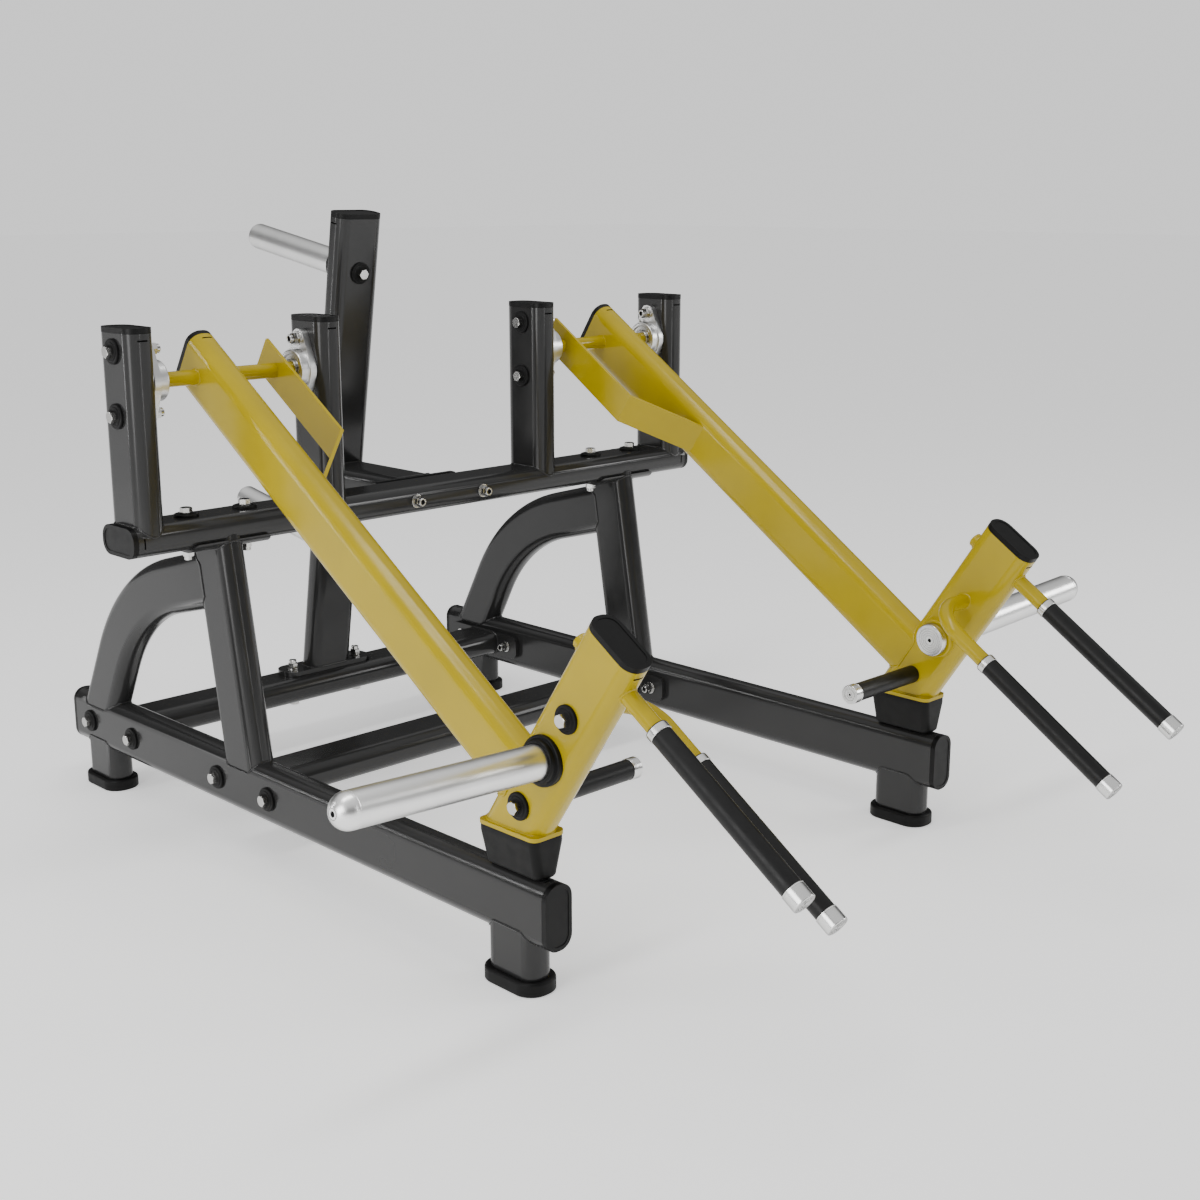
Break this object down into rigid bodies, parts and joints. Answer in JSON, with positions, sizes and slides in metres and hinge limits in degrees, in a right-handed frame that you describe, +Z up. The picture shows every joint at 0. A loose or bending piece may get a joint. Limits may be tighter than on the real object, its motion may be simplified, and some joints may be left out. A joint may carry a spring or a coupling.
{
  "type": "plate loaded squat and deadlift lever machine",
  "caption": "Ground-base lever machine for squats, deadlifts and lunges: two independent plate-loaded arms pivot on a steel frame with bumper stops and a plate storage post.",
  "frame": {"origin": "on the floor, at the centre of the machine's outline seen from above", "axes": "+X to the user's right when facing the machine's post, +Y from the user towards the storage post, +Z up; the machine mirrors itself in the plane X = 0"},
  "size_m": [1.6988, 1.9162, 1.0765],
  "materials": {
    "frame_paint": "satin anthracite powder coat",
    "arm_paint": "semi-gloss mustard yellow powder coat",
    "black_plastic": "fine-textured moulded black plastic",
    "black_rubber": "matt moulded rubber",
    "grip_rubber": "soft foam grip sleeve with a polished aluminium end cap",
    "chrome": "polished hard chrome",
    "bearing_metal": "silver-painted casting",
    "zinc_steel": "bright zinc-plated fasteners"
  },
  "bodies": {
    "frame": {"upper_frame": "frame_paint", "front_crossmember": "frame_paint", "rear_crossmember": "frame_paint", "storage_post": "frame_paint", "post_cap": "black_plastic", "side_frame_left": "frame_paint", "side_frame_right": "frame_paint", "storage_horn_upper": "chrome", "storage_horn_collar_upper": "black_plastic", "storage_horn_lower": "chrome", "storage_horn_collar_lower": "black_plastic", "rail_cap_front_left": "black_plastic", "rail_cap_rear_left": "black_plastic", "beam_cap_left": "black_plastic", "upright_cap_inner_left": "black_plastic", "upright_cap_outer_left": "black_plastic", "foot_front_left": "black_rubber", "foot_rear_left": "black_rubber", "bearing_housing_inner_left": "bearing_metal", "bearing_housing_outer_left": "bearing_metal", "saddle_bolt_inner_left": "zinc_steel", "saddle_bolt_outer_left": "zinc_steel", "post_base_bolt_left": "zinc_steel", "rail_cap_front_right": "black_plastic", "rail_cap_rear_right": "black_plastic", "beam_cap_right": "black_plastic", "upright_cap_inner_right": "black_plastic", "upright_cap_outer_right": "black_plastic", "foot_front_right": "black_rubber", "foot_rear_right": "black_rubber", "bearing_housing_inner_right": "bearing_metal", "bearing_housing_outer_right": "bearing_metal", "saddle_bolt_inner_right": "zinc_steel", "saddle_bolt_outer_right": "zinc_steel", "post_base_bolt_right": "zinc_steel"},
    "left_arm": {"lever_arm_left": "arm_paint", "pivot_shaft_left": "arm_paint", "arm_rear_cap_left": "black_plastic", "handle_tube_cap_left": "black_plastic", "bumper_left": "black_rubber", "plate_horn_left": "chrome", "plate_horn_collar_left": "black_plastic", "curved_handle_left": "arm_paint", "peg_left": "arm_paint", "straight_grip_left": "grip_rubber", "curved_grip_left": "grip_rubber", "peg_grip_left": "grip_rubber"},
    "right_arm": {"lever_arm_right": "arm_paint", "pivot_shaft_right": "arm_paint", "arm_rear_cap_right": "black_plastic", "handle_tube_cap_right": "black_plastic", "bumper_right": "black_rubber", "plate_horn_right": "chrome", "plate_horn_collar_right": "black_plastic", "curved_handle_right": "arm_paint", "peg_right": "arm_paint", "straight_grip_right": "grip_rubber", "curved_grip_right": "grip_rubber", "peg_grip_right": "grip_rubber"}
  },
  "joints": [
    {"name": "left_arm_pivot", "type": "hinge", "parent": "frame", "child": "left_arm", "pos_m": [-0.4645, 0.3154, 0.8155], "axis": [-1, 0, 0], "range_deg": [0, 55]},
    {"name": "right_arm_pivot", "type": "hinge", "parent": "frame", "child": "right_arm", "pos_m": [0.4645, 0.3154, 0.8155], "axis": [-1, 0, 0], "range_deg": [0, 55]}
  ]
}
